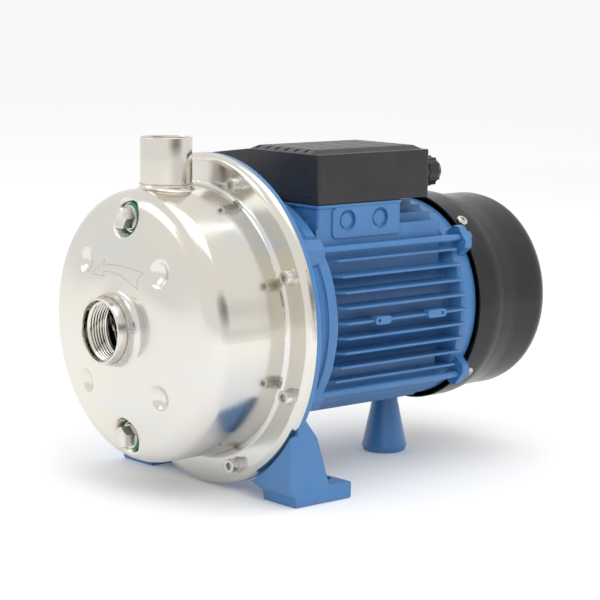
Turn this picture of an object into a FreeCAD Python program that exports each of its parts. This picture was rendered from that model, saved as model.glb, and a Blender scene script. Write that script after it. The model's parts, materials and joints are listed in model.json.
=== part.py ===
"""Close-coupled centrifugal water pump: stainless stamped casing, cast bracket, finned electric motor.

Every shape is drawn with the shaft along +Y at height zero and the bracket's mating face at y = 0.
The suction port faces -Y, the discharge port +Z and the motor fan +Y. The export step then moves
the whole pump so that its origin is on the floor, midway between the two front foot bolts.
"""
import math
import os

import FreeCAD
import Part

V = FreeCAD.Vector

# Main sizes, mm
SHAFT_HEIGHT = 119.0          # shaft axis above the floor
FOOT_BOLT_Y = 39.0            # foot bolts behind the bracket face
FOOT_BOLT_X = 82.5            # each foot bolt from the middle
FOOT_BOLT_HOLE_R = 5.0
SHEET = 2.0                   # pressed stainless sheet

# Pump casing
CASING_R = 95.3
CASING_NECK_R = 24.7
CASING_NECK_Y = -86.0
FLANGE_R = 118.0
FLANGE_FACE_Y = -6.0
FLANGE_SCREW_R = 106.5
FLANGE_SCREWS = 8
DOME_INNER = (-79.6, CASING_NECK_R)       # (y, radius) points of the domed front
DOME_MIDDLE = (-77.5, 50.0)
DOME_OUTER = (-67.0, CASING_R)
PLUG_RING_R = 76.5                        # plugs above and below the suction port
PLUG_SEAT_Y = -65.0
PLUG_THREAD_R = 6.5
PLUG_THREAD_LENGTH = 8.0
PLUG_RECESS = (11.3, 15.0)                # radius of the seat's floor, radius 15 mm in front of it
PLUG_RECESS_EDGE = 2.0
DENT_R = 61.5                             # four drop-shaped dents around the suction port
DENT_BALL, DENT_TAIL, DENT_LENGTH, DENT_DEPTH = 12.5, 8.0, 14.0, 3.7
DENT_EDGE = 5.0

# Ports
SUCTION_MOUTH_Y = -94.2
SUCTION_BORE_R = 19.48                    # crest radius of a G 1 1/4 thread
SUCTION_COUNTERBORE_R = 21.1
SUCTION_COUNTERBORE = 5.0
SUCTION_END_Y = -73.0
DISCHARGE_Y = -37.0
DISCHARGE_TOP = 130.5
DISCHARGE_SEAM = 98.3
DISCHARGE_R = 18.2
COLLAR_FILLET = 3.5
DISCHARGE_BORE_R = 15.15                  # crest radius of a G 1 thread
DISCHARGE_COUNTERBORE_R = 16.9
DISCHARGE_COUNTERBORE = 3.0

# Bracket and feet
DISC_THICKNESS = 5.0
LAND_Y = -2.0
NECK_BACK_Y = 38.0
BRACKET_BACK_Y = 47.5
BRACKET_RING_R = 86.5
BRACKET_EAR_Y = 44.0
BRACKET_EAR = (92.5, 12.0, 4.5)           # reach, half width, half width of its outer flat
TIE_X, TIE_Z = 66.0, 51.5
TIE_R = 2.5
FOOT_OUTER_X = 100.0
FOOT_INNER_X = 65.0
FOOT_THICKNESS = 12.4
FOOT_BACK_Y = 48.8

# Motor
FRAME_BORE_R = 60.0
FRAME_ROOT_R = 66.0
FIN_TIP_R = 81.2
FIN_PITCH = 10.8
FIN_THICKNESS = 1.7
FRAME_BACK_Y = 181.0
BLOCK_X = 60.0                            # half width of the terminal block base
BLOCK_FRONT_Y, BLOCK_BACK_Y = 50.4, 132.0
BLOCK_TOP = 82.0
BLOCK_WELL_X, BLOCK_WELL_Y = 47.0, (64.0, 118.0)
BOX_SCREWS = (BLOCK_X - 7, BLOCK_FRONT_Y + 7, BLOCK_BACK_Y - 7)
SHIELD_BACK_Y = 192.0
SHIELD_R = 75.5
SHIELD_SKIRT_Y = 196.5
SHIELD_EAR_Y = (184.3, 191.0)
SHIELD_EAR = (88.0, 10.0, 6.5)
REAR_FOOT_Y = 174.0
REAR_FOOT_TOP = -77.0

# Terminal box
BOX_BACK_Y = 158.5
BOX_SEAM = 89.3
BOX_TOP = 117.5
BOX_WALL = 2.5
BOX_CORNER = 2.4
GLAND_X, GLAND_Z = 43.5, 100.0

# Fan end
COVER_FRONT_Y = 195.0
COVER_BACK_Y = 277.0
COVER_BAND_R = 79.7
COVER_R = 75.4
FAN_Y = 204.0
COVER_SCREW_Y = 201.2
COVER_SCREW_ANGLES = (49.7, 139.7, 229.7, 319.7)

# Rotor: (ring bore, ring outside, width, ball pitch circle, ball) radii and widths of the bearings
FRONT_BEARING = {"y": 26.0, "bore": 10.0, "outside": 23.5, "width": 14.0, "pitch": 16.75, "ball": 3.93}
REAR_BEARING = {"y": 176.0, "bore": 8.5, "outside": 20.0, "width": 12.0, "pitch": 14.25, "ball": 3.33}
BALLS = 8
ROTOR_R = 35.0
AIR_GAP = 0.3
CORE_Y = (75.0, 150.0)
IMPELLER_R = 66.0
IMPELLER_EYE_R = 22.7
IMPELLER_HUB_Y = (-66.0, -52.0)

nodes = {}


# ---------------------------------------------------------------- drawing helpers
def along_shaft(y, radius):
    return V(radius, y, 0)


def corner_point(corner, place):
    return place(corner[0], corner[1])


def outline(corners, place):
    """Closed wire through (u, v) or (u, v, rounding radius) corners."""
    joints = []
    for i, corner in enumerate(corners):
        here = corner_point(corner, place)
        rounding = corner[2] if len(corner) > 2 else 0
        if not rounding:
            joints.append((here, None, here))
            continue
        back = (corner_point(corners[i - 1], place) - here).normalize()
        ahead = (corner_point(corners[(i + 1) % len(corners)], place) - here).normalize()
        half = back.getAngle(ahead) / 2
        reach = rounding / math.tan(half)
        middle = here + (back + ahead).normalize() * (rounding / math.sin(half) - rounding)
        joints.append((here + back * reach, middle, here + ahead * reach))
    edges = []
    for i, (start, middle, end) in enumerate(joints):
        if middle is not None:
            edges.append(Part.Arc(start, middle, end).toShape())
        following = joints[(i + 1) % len(joints)][0]
        if end.distanceToPoint(following) > 1e-6:
            edges.append(Part.LineSegment(end, following).toShape())
    return Part.Wire(edges)


def turned(corners):
    """Solid of revolution about the shaft from (y, radius) corners."""
    face = Part.Face(outline(corners, along_shaft))
    return face.revolve(V(0, 0, 0), V(0, 1, 0), 360)


def offset_path(corners, thickness):
    """The path moved to its right-hand side, with its roundings kept parallel."""
    moved = []
    last = len(corners) - 1
    for i, corner in enumerate(corners):
        here = V(corner[0], corner[1], 0)
        into = here - V(*corners[i - 1][:2], 0) if i > 0 else None
        out = V(*corners[i + 1][:2], 0) - here if i < last else None
        into = (into or out).normalize() if into is None else into.normalize()
        out = V(into) if out is None else out.normalize()
        normal_in, normal_out = V(into.y, -into.x, 0), V(out.y, -out.x, 0)
        shift = (normal_in + normal_out) * (thickness / (1 + normal_in.dot(normal_out)))
        rounding = corner[2] if len(corner) > 2 else 0
        if rounding:
            rounding += math.copysign(thickness, into.cross(out).z)
        moved.append((here.x + shift.x, here.y + shift.y, max(rounding, 0)))
    return moved


def pressed_sheet(corners, thickness):
    """Revolved sheet whose outside follows the corners, with the metal on their right."""
    return turned(list(corners) + offset_path(corners, thickness)[::-1])


def tube(y0, y1, outer, inner=0.0):
    body = Part.makeCylinder(outer, y1 - y0, V(0, y0, 0), V(0, 1, 0))
    if inner:
        body = body.cut(Part.makeCylinder(inner, y1 - y0 + 2, V(0, y0 - 1, 0), V(0, 1, 0)))
    return body


def rod(start, direction, length, radius):
    return Part.makeCylinder(radius, length, start, direction)


def box(x0, x1, y0, y1, z0, z1):
    return Part.makeBox(x1 - x0, y1 - y0, z1 - z0, V(x0, y0, z0))


def extruded(corners, place, depth):
    return Part.Face(outline(corners, place)).extrude(depth)


def hexagon(across_flats, y0, y1, turn=0.0):
    """Hexagonal prism along the shaft axis."""
    reach = across_flats / math.sqrt(3)
    angles = [math.radians(60 * k + turn) for k in range(6)]
    corners = [(reach * math.cos(angle), reach * math.sin(angle)) for angle in angles]
    return extruded(corners, lambda x, z: V(x, y0, z), V(0, y1 - y0, 0))


def facing(shape, direction, at):
    """Copy of a shape drawn along +Y, turned to another direction and moved."""
    placed = shape.copy()
    placed.Placement = FreeCAD.Placement(at, FreeCAD.Rotation(V(0, 1, 0), direction))
    return placed


def on_circle(radius, degrees, y):
    angle = math.radians(degrees)
    return V(radius * math.cos(angle), y, radius * math.sin(angle))


def fused(shapes):
    first, *rest = shapes
    return first.multiFuse(rest).removeSplitter() if rest else first


def both_sides(shape):
    """The shape and its mirror image across the middle plane."""
    return [shape, shape.mirror(V(0, 0, 0), V(1, 0, 0))]


def hex_bolt(thread_r, length, across_flats, head):
    """Hexagon bolt along +Y; the head ends at y = 0."""
    crown = hexagon(across_flats, -head, 0)
    limit = turned([(-head, 0), (-head, across_flats * 0.47), (-head + 0.6, across_flats * 0.62),
                    (0, across_flats * 0.62), (0, 0)])
    return fused([crown.common(limit), tube(0, length, thread_r)])


def cap_screw(thread_r, length, head_r, head, socket_flats):
    """Socket head cap screw along +Y; the head ends at y = 0."""
    body = turned([(-head, 0), (-head, head_r, 0.5), (0, head_r), (0, thread_r),
                   (length, thread_r), (length, 0)])
    return body.cut(hexagon(socket_flats, -head - 1, -head / 2))


def pan_screw(thread_r, length, head_r, head):
    """Cross-recessed pan head screw along +Y; the head ends at y = 0."""
    body = turned([(-head, 0), (-head, head_r, head * 0.6), (0, head_r), (0, thread_r),
                   (length, thread_r), (length, 0)])
    arm, width = head_r * 0.55, head_r * 0.14
    for cross in (box(-arm, arm, -head - 1, -head * 0.4, -width, width),
                  box(-width, width, -head - 1, -head * 0.4, -arm, arm)):
        body = body.cut(cross)
    return body


# ---------------------------------------------------------------- pump casing and its ports
CASING_PATH = [(CASING_NECK_Y, CASING_NECK_R), (*DOME_INNER, 4), (*DOME_MIDDLE, 180), (*DOME_OUTER, 15),
               (FLANGE_FACE_Y, CASING_R, 4), (FLANGE_FACE_Y, FLANGE_R, 6), (0, FLANGE_R)]


def teardrop(big, small, length):
    """Drop along +Y: a big ball at y = 0 blended into a small ball at y = length."""
    lean = math.asin((big - small) / length)
    ends = []
    for centre, radius in ((0, big), (length, small)):
        ends.append(along_shaft(centre + radius * math.sin(lean), radius * math.cos(lean)))
    start, tip = along_shaft(-big, 0), along_shaft(length + small, 0)
    head_middle = along_shaft(-big * math.cos(1), big * math.sin(1))
    tail = (math.pi / 2 - lean) / 2
    tail_middle = along_shaft(length + small * math.cos(tail), small * math.sin(tail))
    wire = Part.Wire([Part.Arc(start, head_middle, ends[0]).toShape(),
                      Part.LineSegment(ends[0], ends[1]).toShape(),
                      Part.Arc(ends[1], tail_middle, tip).toShape(),
                      Part.LineSegment(tip, start).toShape()])
    return Part.Face(wire).revolve(V(0, 0, 0), V(0, 1, 0), 360)


def make_dents():
    """Pairs of (metal behind, hollow) solids for the four drop-shaped dents."""
    dome_slope = (DOME_OUTER[0] - DOME_MIDDLE[0]) / (DOME_OUTER[1] - DOME_MIDDLE[1])
    dent_y = DOME_OUTER[0] - (CASING_R - DENT_R) * dome_slope - DENT_BALL + DENT_DEPTH
    dents = []
    for degrees in (45, 135, 225, 315):
        outward = on_circle(1, degrees, 0)
        at = on_circle(DENT_R, degrees, dent_y)
        dents.append([facing(teardrop(DENT_BALL + grown, DENT_TAIL + grown, DENT_LENGTH), outward, at)
                      for grown in (SHEET, 0)])
    return dents


def make_plug_seats():
    """Pairs of (metal behind, hollow) solids for the sunk seats of the two plugs."""
    floor_r, open_r = PLUG_RECESS
    front_y = PLUG_SEAT_Y - 15
    back_y = PLUG_SEAT_Y + SHEET
    cup = turned([(front_y, 0), (front_y, open_r + SHEET), (back_y, floor_r + SHEET, 3), (back_y, 0)])
    recess = turned([(front_y, 0), (front_y, open_r), (PLUG_SEAT_Y, floor_r, 2.5), (PLUG_SEAT_Y, 0)])
    return [[facing(shape, V(0, 1, 0), V(0, 0, side * PLUG_RING_R)) for shape in (cup, recess)]
            for side in (1, -1)]


def rim_edges(body, hollows, reach):
    """Edges around the mouths of the hollows, on the domed front."""
    picked = []
    for hollow in hollows:
        middle = hollow.BoundBox.Center
        for edge in body.Edges:
            bounds = edge.BoundBox
            centre = bounds.Center
            near = abs(centre.x - middle.x) < reach and abs(centre.z - middle.z) < reach
            small = max(bounds.XLength, bounds.ZLength) < 2 * reach
            front = bounds.YMin < PLUG_SEAT_Y - 3.5
            if near and small and front:
                picked.append(edge)
    return picked


def collar_seam(body):
    """Edge where the discharge collar meets the bowl."""
    low, high = CASING_R - 10, DISCHARGE_SEAM - 1
    return [edge for edge in body.Edges if low < edge.BoundBox.ZMin and edge.BoundBox.ZMax < high
            and min(edge.BoundBox.XLength, edge.BoundBox.YLength) > DISCHARGE_R]


def pump_casing():
    inner = offset_path(CASING_PATH, SHEET)
    envelope = turned(CASING_PATH + [(0, 0), (CASING_NECK_Y, 0)])
    cavity = turned([(CASING_NECK_Y - 1, inner[0][1])] + inner[1:-1]
                    + [(1, inner[-1][1]), (1, 0), (CASING_NECK_Y - 1, 0)])
    body = envelope.fuse(rod(V(0, DISCHARGE_Y, 0), V(0, 0, 1), DISCHARGE_SEAM, DISCHARGE_R))
    body = body.makeFillet(COLLAR_FILLET, collar_seam(body))
    dents, seats = make_dents(), make_plug_seats()
    for pairs, edge_r in ((dents, DENT_EDGE), (seats, PLUG_RECESS_EDGE)):
        hollows = [hollow for _, hollow in pairs]
        for hollow in hollows:
            body = body.cut(hollow)
        body = body.makeFillet(edge_r, rim_edges(body, hollows, 18))
    for metal, _ in dents + seats:
        cavity = cavity.cut(metal)
    body = body.cut(cavity)

    for side in (1, -1):
        weld_nut = rod(V(0, PLUG_SEAT_Y + SHEET, side * PLUG_RING_R), V(0, 1, 0), 5.5, 9.0)
        thread = rod(V(0, PLUG_SEAT_Y - 15, side * PLUG_RING_R), V(0, 1, 0), 30, PLUG_THREAD_R + 0.1)
        body = body.fuse(weld_nut).cut(thread)
    for k in range(FLANGE_SCREWS):
        at = on_circle(FLANGE_SCREW_R, 22.5 + 45 * k, FLANGE_FACE_Y - 1)
        body = body.cut(rod(at, V(0, 1, 0), 6, 3.3))
    return body.cut(rod(V(0, DISCHARGE_Y, 60), V(0, 0, 1), 60, DISCHARGE_BORE_R))


def suction_socket():
    chamfer_y = SUCTION_MOUTH_Y + SUCTION_COUNTERBORE
    outer = CASING_NECK_R - SHEET
    return turned([(SUCTION_MOUTH_Y, SUCTION_COUNTERBORE_R), (SUCTION_MOUTH_Y, outer, 0.6),
                   (SUCTION_END_Y, outer), (SUCTION_END_Y, SUCTION_BORE_R),
                   (chamfer_y + 1.4, SUCTION_BORE_R), (chamfer_y, SUCTION_COUNTERBORE_R)])


def discharge_socket():
    chamfer_z = DISCHARGE_TOP - DISCHARGE_COUNTERBORE
    shape = turned([(DISCHARGE_SEAM, DISCHARGE_BORE_R), (DISCHARGE_SEAM, DISCHARGE_R),
                    (DISCHARGE_TOP, DISCHARGE_R, 0.5), (DISCHARGE_TOP, DISCHARGE_COUNTERBORE_R),
                    (chamfer_z, DISCHARGE_COUNTERBORE_R), (chamfer_z - 1.4, DISCHARGE_BORE_R)])
    return facing(shape, V(0, 0, 1), V(0, DISCHARGE_Y, 0))


def wear_ring():
    """Neck ring inside the casing front, in which the impeller eye turns."""
    outer = CASING_NECK_R - SHEET
    lip = IMPELLER_EYE_R + 0.4
    inner = SUCTION_BORE_R + 1.5
    return turned([(SUCTION_END_Y, inner), (SUCTION_END_Y, outer + 4, 1), (-68.4, outer + 4, 1),
                   (-68.4, lip), (-71.8, lip), (-71.8, inner)])


def plug(turn):
    shape = turned([(-4, 0), (-4, 8.5, 0.4), (-2.5, 8.5), (-2.5, PLUG_THREAD_R),
                    (PLUG_THREAD_LENGTH, PLUG_THREAD_R, 1), (PLUG_THREAD_LENGTH, 0)])
    crown = hexagon(14, -12.5, -4, turn)
    limit = turned([(-12.5, 0), (-12.5, 6.6), (-11.7, 8.3), (-4, 8.3), (-4, 0)])
    return fused([shape, crown.common(limit)])


def plug_ring():
    return turned([(-2.5, PLUG_THREAD_R + 0.2), (-2.5, 9.8, 1.1), (0, 9.8, 1.1), (0, PLUG_THREAD_R + 0.2)])


def make_plugs():
    for name, side, turn in (("fill", 1, 0), ("drain", -1, 22)):
        at = V(0, PLUG_SEAT_Y, side * PLUG_RING_R)
        nodes[f"{name}_plug"] = facing(plug(turn), V(0, 1, 0), at)
        nodes[f"{name}_plug_ring"] = facing(plug_ring(), V(0, 1, 0), at)


def make_flange_screws():
    screw = cap_screw(3.0, 12.0, 5.0, 6.0, 5.0)
    washer = tube(-1.2, 0, 6.0, 3.2)
    places = [on_circle(FLANGE_SCREW_R, 22.5 + 45 * k, FLANGE_FACE_Y) for k in range(FLANGE_SCREWS)]
    inward = V(0, 1, 0)
    nodes["flange_screws"] = Part.makeCompound([facing(screw, inward, at - inward * 1.2) for at in places])
    nodes["flange_washers"] = Part.makeCompound([facing(washer, inward, at) for at in places])


# ---------------------------------------------------------------- hydraulic inside
COVER_PLATE_Y = LAND_Y - SHEET
COVER_DISH_Y = -44.0
SEAL_CUP_R = 18.0
SEAL_CUP_Y = -31.0


def casing_cover():
    """Dished plate behind the impeller, with the cup of the seal seat in its middle."""
    cover = pressed_sheet([(SEAL_CUP_Y, 12.0), (SEAL_CUP_Y, SEAL_CUP_R, 3), (COVER_DISH_Y, SEAL_CUP_R, 3),
                           (COVER_DISH_Y, 66, 8), (COVER_PLATE_Y, 84, 5), (COVER_PLATE_Y, 111.9)], SHEET)
    for k in range(FLANGE_SCREWS):
        at = on_circle(FLANGE_SCREW_R, 22.5 + 45 * k, COVER_PLATE_Y - 1)
        cover = cover.cut(rod(at, V(0, 1, 0), 6, 3.3))
    return cover


def casing_gasket():
    """O-ring squeezed between the flange curl, the cover plate's edge and the bracket."""
    return Part.makeTorus(114.6, 0.9, V(0, -1.2, 0), V(0, 1, 0))


def impeller():
    front = pressed_sheet([(-71.2, IMPELLER_EYE_R), (-65, IMPELLER_EYE_R, 3), (-62, IMPELLER_R)], 1.5)
    back = turned([(-54, 7.1), (-54, IMPELLER_R), (-52.5, IMPELLER_R), (-52.5, 13), (IMPELLER_HUB_Y[1], 13),
                   (IMPELLER_HUB_Y[1], 7.1)])
    hub = tube(IMPELLER_HUB_Y[0], -53, 13, 7.1)
    passage = turned([(-53.5, 12), (-53.5, IMPELLER_R), (-61.2, IMPELLER_R), (-64, 25), (-64, 12)])
    vanes = []
    for k in range(6):
        vane = extruded([(12, -2, 0), (34, 12, 30), (70, 3, 0), (70, 4.8, 0), (34, 13.9, 30), (12, 0.2, 0)],
                        lambda x, z: V(x, -68, z), V(0, 16, 0))
        vane.rotate(V(0, 0, 0), V(0, 1, 0), 60 * k)
        vanes.append(vane.common(passage))
    return fused([front, back, hub] + vanes).cut(box(-2.5, 2.5, -67, -50, 0, 9.4))


def make_impeller_fixings():
    nodes["impeller_key"] = box(-2.5, 2.5, -65, -53, 4.4, 9.2)
    nodes["impeller_washer"] = tube(-67.5, IMPELLER_HUB_Y[0], 11, 5.2)
    nut = hexagon(17, -71.4, -67.5).fuse(turned([(-72.7, 0), (-72.7, 6, 1), (-71.0, 8.4), (-71.0, 0)]))
    nodes["impeller_nut"] = nut.cut(tube(-71.2, -60, 5.0))


def helix_spring(y0, y1, radius, wire_r, turns):
    pitch = (y1 - y0) / turns
    path = Part.makeHelix(pitch, y1 - y0, radius)
    section = Part.Wire(Part.makeCircle(wire_r, V(radius, 0, 0), V(0, 1, 0)))
    coil = Part.Wire(path).makePipeShell([section], True, True)
    coil.rotate(V(0, 0, 0), V(1, 0, 0), -90)
    coil.translate(V(0, y0, 0))
    return coil


def make_shaft_seal():
    """Mechanical seal: a ceramic seat in the cover cup, a sprung carbon ring turning with the shaft."""
    cup_outer, cup_inner = SEAL_CUP_R - 0.02, SEAL_CUP_R - 4
    nodes["seal_seat_cup"] = turned([(-39, cup_inner), (-39, cup_outer), (-33.2, cup_outer, 2),
                                     (-33.2, 9.5), (-34.6, 9.5), (-34.6, cup_inner)])
    nodes["seal_seat"] = turned([(-40, 8.6), (-40, 13.9, 0.5), (-34.7, 13.9), (-34.7, 8.6)])
    nodes["seal_carbon_ring"] = turned([(-40.05, 8.0), (-40.05, 12.0, 0.3), (-43.6, 12.0), (-43.6, 8.0)])
    nodes["seal_bellows"] = turned([(-43.6, 7.05), (-43.6, 10.2, 1), (-46.4, 9.0, 1),
                                    (-51.9, 9.0), (-51.9, 7.05)])
    nodes["seal_spring"] = helix_spring(-51.2, -44.4, 11.2, 0.7, 2.5)


def slinger():
    """Rubber ring that throws leakage off the shaft before it can reach the bearing."""
    return turned([(-8, 9.55), (-8, 16, 1), (-5.5, 16, 1), (-4, 12.5), (0, 12.5), (0, 9.55)])


# ---------------------------------------------------------------- bracket with feet
def bracket_turned():
    bearing_y = FRONT_BEARING["y"]
    bearing_end = bearing_y + FRONT_BEARING["width"]
    return turned([(LAND_Y, 92), (LAND_Y, 113.4), (0, 113.4), (0, FLANGE_R), (DISC_THICKNESS, FLANGE_R, 1.5),
                   (DISC_THICKNESS, 101, 4), (NECK_BACK_Y, 82, 3), (NECK_BACK_Y, BRACKET_RING_R, 1),
                   (BRACKET_BACK_Y, BRACKET_RING_R, 1), (BRACKET_BACK_Y, 68.1), (41.3, 68.1), (41.3, 62),
                   (36, 62, 2), (36, 34, 4), (bearing_end, 30, 1), (bearing_end, 23.52),
                   (bearing_y, 23.52), (bearing_y, 17), (20, 14), (17, 14), (17, 28, 3),
                   (28, 36, 4), (28, 76, 5), (6, 92, 3)])


def leg():
    """One front foot: a cast leg under the disc that ends in a bolted tab."""
    floor = -SHAFT_HEIGHT
    tab_top = floor + FOOT_THICKNESS
    side = extruded([(-1, floor, 0), (-1.8, floor + 6, 0), (-7, floor + 12, 3), (-7, -70, 0), (6, -58, 0),
                     (17, -72, 6), (28.5, tab_top, 2), (FOOT_BACK_Y, tab_top, 2), (FOOT_BACK_Y, floor, 0)],
                    lambda y, z: V(40, y, z), V(FOOT_OUTER_X - 40, 0, 0))
    front = extruded([(FOOT_OUTER_X, floor, 2), (FOOT_OUTER_X, -50, 0), (70, -50, 0), (40, -92, 0),
                      (56, -104.5, 8), (FOOT_INNER_X, -111, 4), (FOOT_INNER_X, floor, 0)],
                     lambda x, z: V(x, -20, z), V(0, 90, 0))
    block = side.common(front)
    clearance = turned([(-20, 0), (-20, FLANGE_R + 3), (0, FLANGE_R + 3), (0, 0)])
    inside = turned([(-21, 0), (-21, 95), (DISC_THICKNESS, 95), (NECK_BACK_Y, 78), (60, 78), (60, 0)])
    return block.cut(clearance).cut(inside)


def tie_ear(y0, y1, reach, half, flat):
    """Faceted lug around one tie bolt."""
    shoulder = reach - half + flat
    lug = extruded([(66, -half - 1), (shoulder, -half), (reach, -flat), (reach, flat), (shoulder, half),
                    (66, half + 1)], lambda x, z: V(x, y0, z), V(0, y1 - y0, 0))
    lug.rotate(V(0, 0, 0), V(0, 1, 0), -math.degrees(math.atan2(TIE_Z, TIE_X)))
    return lug


def four_corners(shape):
    upper = both_sides(shape)
    return upper + [one.mirror(V(0, 0, 0), V(0, 0, 1)) for one in upper]


def tie_holes(y0, y1, radius):
    return [rod(V(x, y0, z), V(0, 1, 0), y1 - y0, radius) for x in (-TIE_X, TIE_X) for z in (-TIE_Z, TIE_Z)]


def bracket():
    ears = four_corners(tie_ear(DISC_THICKNESS - 1, BRACKET_EAR_Y, *BRACKET_EAR))
    ring_bore = tube(41.3, 60, 68.1)
    inside = turned([(2, 0), (2, 92), (6, 92), (28, 76), (41.3, 68.1), (41.3, 0)])
    ears = [ear.cut(inside).cut(ring_bore) for ear in ears]
    body = fused([bracket_turned()] + both_sides(leg()) + ears)
    for hole in tie_holes(20, 60, TIE_R):
        body = body.cut(hole)
    for k in range(FLANGE_SCREWS):
        at = on_circle(FLANGE_SCREW_R, 22.5 + 45 * k, LAND_Y - 1)
        body = body.cut(rod(at, V(0, 1, 0), 12, 3.0))
    for x in (-FOOT_BOLT_X, FOOT_BOLT_X):
        body = body.cut(rod(V(x, FOOT_BOLT_Y, -SHAFT_HEIGHT - 1), V(0, 0, 1), 30, FOOT_BOLT_HOLE_R))
    return body


# ---------------------------------------------------------------- motor
def side_fins():
    fins = []
    for k in range(-4, 5):
        z = k * FIN_PITCH
        root = math.sqrt((FRAME_ROOT_R - 2) ** 2 - z ** 2)
        tip = math.sqrt(FIN_TIP_R ** 2 - z ** 2)
        back = FRAME_BACK_Y - 0.5
        fin = extruded([(root, 49), (root + 3, 49), (tip, 62, 1), (tip, back, 1), (root, back)],
                       lambda x, y: V(x, y, z - FIN_THICKNESS / 2), V(0, 0, FIN_THICKNESS))
        fins += both_sides(fin)
    return fins


def upright_fins():
    """Fins above and below the frame, whose tips follow an oval towards the sides."""
    fins = []
    for x in (5.3, 15.9, 26.5, 37.1, 47.7, 58.1):
        root = math.sqrt((FRAME_ROOT_R - 2) ** 2 - x ** 2)
        for up, oval_height, oval_width, y1 in ((1, 81.0, 97.7, 171.0), (-1, 75.5, 94.0, 169.0)):
            tip = oval_height * math.sqrt(1 - (x / oval_width) ** 2)
            low, high = sorted((up * root, up * tip))
            fin = extruded([(50, low), (50, high), (y1, high, 1.5 * (up > 0)), (y1, low, 1.5 * (up < 0))],
                           lambda y, z: V(x - FIN_THICKNESS / 2, y, z), V(FIN_THICKNESS, 0, 0))
            fins += both_sides(fin)
    return fins


def terminal_block():
    """Raised base of the terminal box, cast with the frame, with round knockouts in its sides."""
    def prism(inset, z0, z1):
        x, y0, y1 = BLOCK_X - inset, BLOCK_FRONT_Y + inset, BLOCK_BACK_Y - inset
        corners = [(-x, y0, 2.4), (x, y0, 2.4), (x, y1, 2.4), (-x, y1, 2.4)]
        return extruded(corners, lambda x, y: V(x, y, z0), V(0, 0, z1 - z0))

    block = prism(0.7, 52, BLOCK_TOP - 1).fuse(prism(0, BLOCK_TOP - 2.2, BLOCK_TOP))
    pad = extruded([(64, 58, 4), (64, 79.8, 4), (BLOCK_BACK_Y - 4, 79.8, 1), (BLOCK_BACK_Y - 4, 58, 1)],
                   lambda y, z: V(BLOCK_X - 1, y, z), V(1.7, 0, 0))
    block = fused([block] + both_sides(pad))
    for y in (78.0, 109.5):
        ring = rod(V(BLOCK_X - 1.9, y, 70.4), V(1, 0, 0), 6, 7.5)
        disc = rod(V(BLOCK_X - 2.0, y, 70.4), V(1, 0, 0), 1.2, 5.4)
        for one in both_sides(ring.cut(disc)):
            block = block.cut(one)
    block = block.cut(box(-BLOCK_WELL_X, BLOCK_WELL_X, *BLOCK_WELL_Y, 64, BLOCK_TOP + 1))
    for x, y in screw_places(*BOX_SCREWS):
        block = block.cut(rod(V(x, y, 66), V(0, 0, 1), 30, 2.0))
    return block


def screw_places(x, y0, y1):
    return [(side * x, y) for side in (-1, 1) for y in (y0, y1)]


def nameplate_bosses():
    """Two small lugs on each middle fin for the rivets of a rating plate."""
    bosses = []
    for y0, y1, hole in ((86.5, 101.5, 90.0), (138.3, 156.5, 152.8)):
        boss = extruded([(y0, -2.9, 2.4), (y0, 2.9, 2.4), (y1, 2.9, 2.4), (y1, -2.9, 2.4)],
                        lambda y, z: V(FIN_TIP_R - 5, y, z), V(6.5, 0, 0))
        bosses += both_sides(boss.cut(rod(V(FIN_TIP_R - 6, hole, 0), V(1, 0, 0), 12, 1.3)))
    return bosses


def motor_frame():
    lip_y = BRACKET_BACK_Y + 0.1
    tube_wall = turned([(41.5, FRAME_BORE_R), (41.5, 68.0), (lip_y, 68.0), (lip_y, 70),
                        (52, FRAME_ROOT_R, 2), (FRAME_BACK_Y - 8, FRAME_ROOT_R, 2),
                        (FRAME_BACK_Y - 2.5, 76), (FRAME_BACK_Y, 76), (FRAME_BACK_Y, FRAME_BORE_R)])
    foot_pad = rod(V(0, REAR_FOOT_Y, REAR_FOOT_TOP), V(0, 0, 1), 20, 11)
    foot_pad = foot_pad.common(box(-11, 11, 150, FRAME_BACK_Y, -90, 0))
    body = fused([tube_wall, terminal_block(), foot_pad] + side_fins() + upright_fins())
    body = body.cut(tube(40, 185, FRAME_BORE_R)).multiFuse(nameplate_bosses())
    body = body.cut(rod(V(0, REAR_FOOT_Y, REAR_FOOT_TOP - 1), V(0, 0, 1), 12.5, 4))
    for hole in tie_holes(45, 185, TIE_R + 0.3):
        body = body.cut(hole)
    return body.cut(rod(V(25, 90, 55), V(0, 0, 1), 20, 6))


def stator_core():
    core = tube(*CORE_Y, FRAME_BORE_R, ROTOR_R + AIR_GAP)
    slots = []
    for k in range(24):
        slot = extruded([(38.5, -1.2, 0), (38.5, 1.2, 0), (48, 2.6, 1.5), (48, -2.6, 1.5)],
                        lambda x, z: V(x, CORE_Y[0] - 1, z), V(0, CORE_Y[1] - CORE_Y[0] + 2, 0))
        slot.rotate(V(0, 0, 0), V(0, 1, 0), 15 * k)
        slots.append(slot)
    return core.cut(Part.makeCompound(slots))


def stator_windings():
    """Two coil heads, one at each end of the core."""
    heads = []
    for y0, y1 in ((57, CORE_Y[0]), (CORE_Y[1], 168)):
        heads.append(turned([(y0, 38.5, 3), (y0, 54, 6), (y1, 50, 1), (y1, 38.5, 1)]))
    return Part.makeCompound(heads)


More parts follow.
